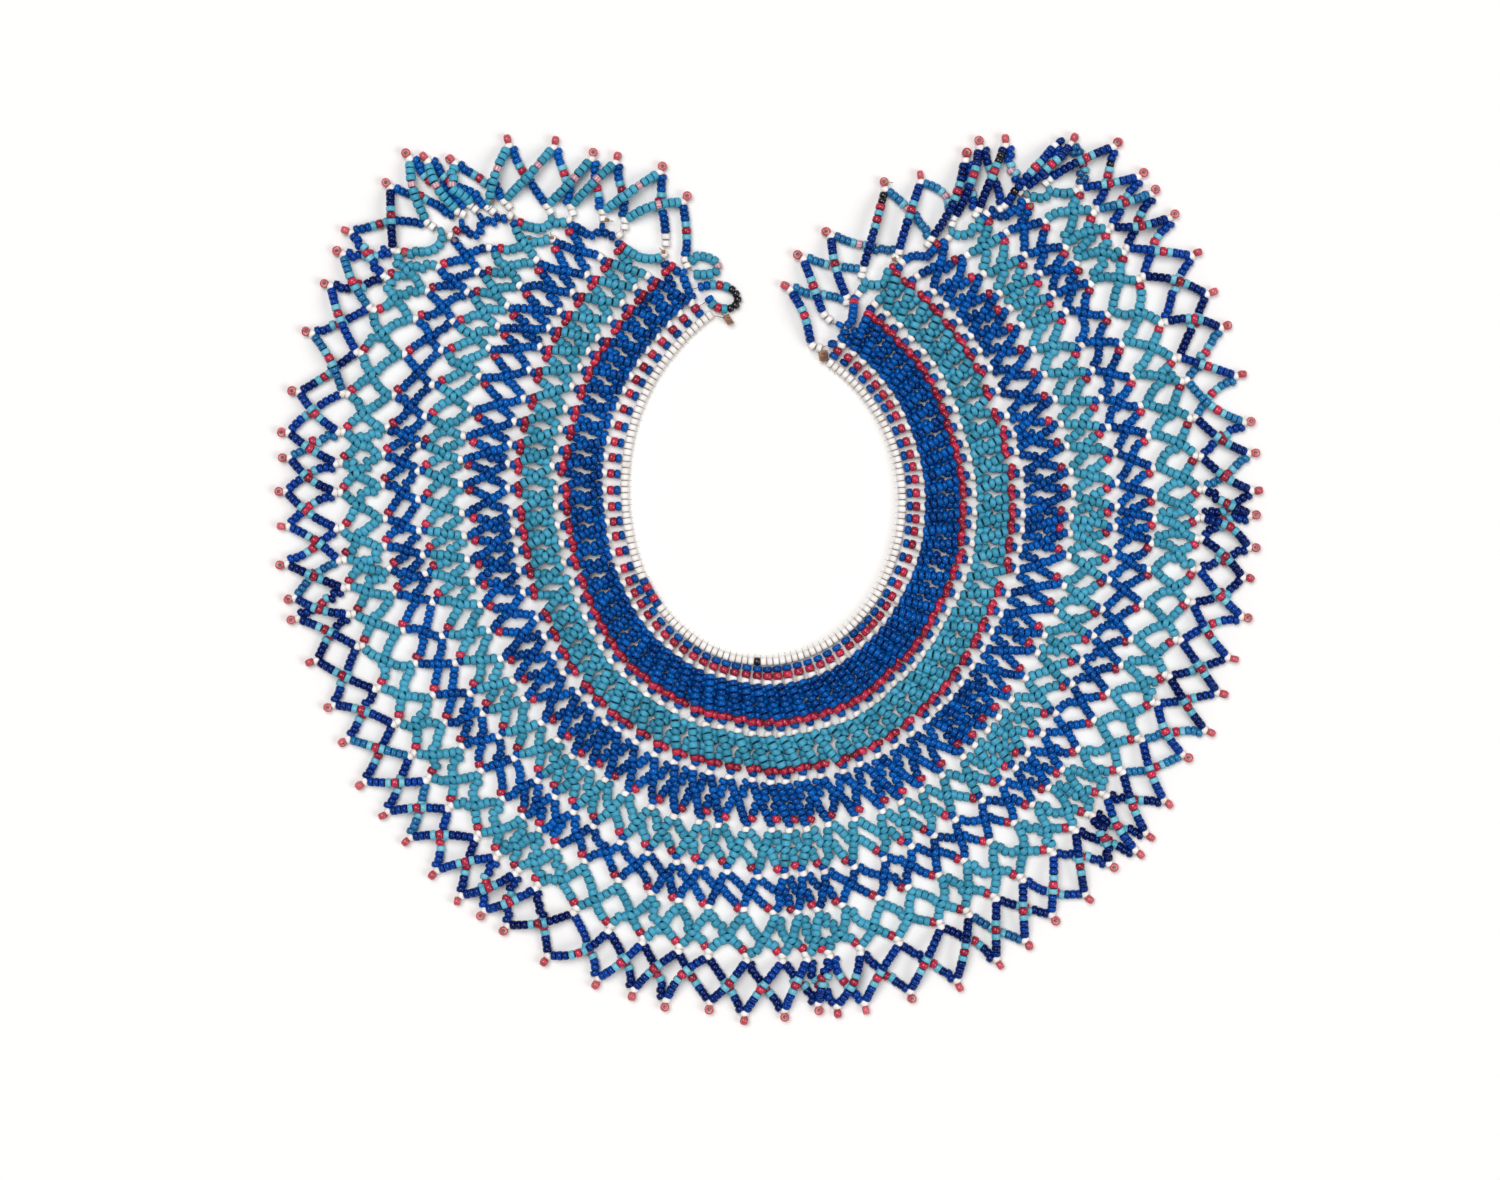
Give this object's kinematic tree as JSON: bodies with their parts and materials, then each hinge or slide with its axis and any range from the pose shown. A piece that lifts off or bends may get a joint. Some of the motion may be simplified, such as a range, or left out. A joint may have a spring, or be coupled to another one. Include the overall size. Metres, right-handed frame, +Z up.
{
  "type": "beaded collar necklace",
  "caption": "Wide netted seed-bead collar lying flat and open: concentric coloured rows on radial strands round a neck hollow, a pointed bead fringe outside, and loop-and-knot ends.",
  "frame": {"origin": "middle of the collar's bounding box in plan, on the surface that it lies on", "axes": "+Z up out of the flat collar; +X along its greatest width, towards the right arm's side as the picture shows it; +Y towards the opening between the two arms"},
  "size_m": [0.3436, 0.3106, 0.0062],
  "materials": {
    "white_glass": "opaque chalk-white pressed glass seed beads, low gloss",
    "red_glass": "translucent red over a white core, wet gloss",
    "royal_blue_glass": "opaque royal blue glass seed beads, glossy",
    "turquoise_glass": "opaque greenish turquoise glass seed beads, satin gloss",
    "navy_glass": "dark translucent navy glass seed beads, glossy",
    "black_glass": "opaque black glass seed beads, glossy",
    "brown_thread": "twisted brown cotton thread, slightly waxed"
  },
  "bodies": {
    "root": {"neck_string": "white_glass", "stem_row": "red_glass", "blue_row_1": "royal_blue_glass", "turquoise_row_1": "turquoise_glass", "blue_row_2": "royal_blue_glass", "turquoise_row_2": "turquoise_glass", "blue_row_3": "royal_blue_glass", "turquoise_row_3": "turquoise_glass", "outer_fringe": "navy_glass", "right_end_fringe": "navy_glass", "left_end_fringe": "navy_glass", "upper_loop": "turquoise_glass", "lower_loop": "black_glass", "left_knot": "brown_thread", "right_knot": "brown_thread"}
  },
  "joints": []
}
